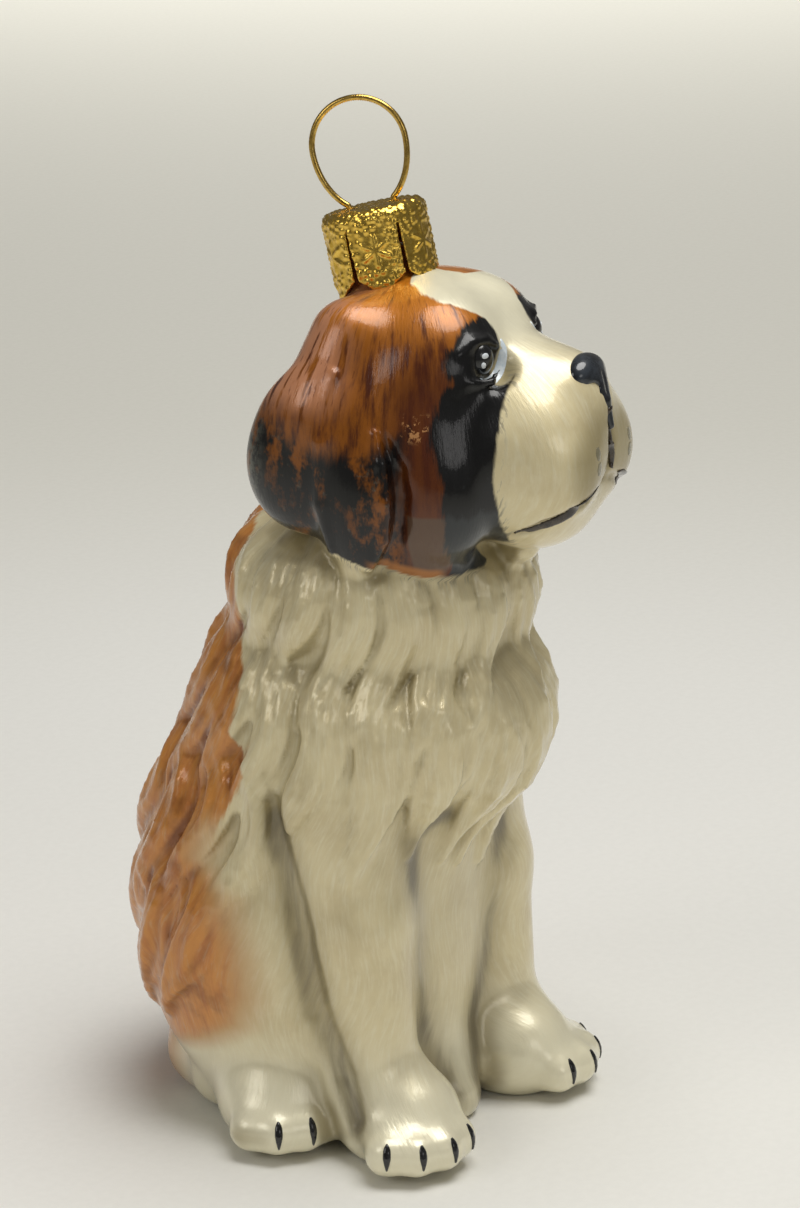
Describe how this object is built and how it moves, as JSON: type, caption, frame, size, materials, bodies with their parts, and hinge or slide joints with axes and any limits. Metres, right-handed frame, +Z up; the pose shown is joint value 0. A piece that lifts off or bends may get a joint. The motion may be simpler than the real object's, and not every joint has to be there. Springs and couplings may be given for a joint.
{
  "type": "glass tree ornament, saint bernard puppy",
  "caption": "Mouth-blown painted glass tree ornament in the form of a sitting Saint Bernard puppy, with a petalled metal cap and a wire hanging ring.",
  "frame": {"origin": "on the floor plane under the middle of the bounding box", "axes": "+Z up through the puppy and its cap, -Y the way the puppy's chest faces, +X towards the puppy's left side"},
  "size_m": [0.0476, 0.0566, 0.1152],
  "materials": {
    "cream_paint": "mouth-blown glass, lacquered in ivory white with olive-grey shading in the recesses, high gloss",
    "brown_paint": "mouth-blown glass, lacquered in streaky orange-brown, high gloss",
    "black_paint": "mouth-blown glass, lacquered black with thin amber strokes, high gloss",
    "cap_metal": "thin stamped sheet, gold coloured, embossed all over with grains and a star on each petal",
    "wire_metal": "thin gold-coloured wire, bright"
  },
  "bodies": {
    "root": {"head": "brown_paint", "ear_left": "black_paint", "ear_right": "black_paint", "eye_left": "black_paint", "eye_right": "black_paint", "nose": "black_paint", "neck_ruff": "cream_paint", "torso": "brown_paint", "foreleg_left": "cream_paint", "foreleg_right": "cream_paint", "hindleg_left": "cream_paint", "hindleg_right": "cream_paint", "tail": "brown_paint", "cap": "cap_metal", "hanger_ring": "wire_metal"}
  },
  "joints": []
}
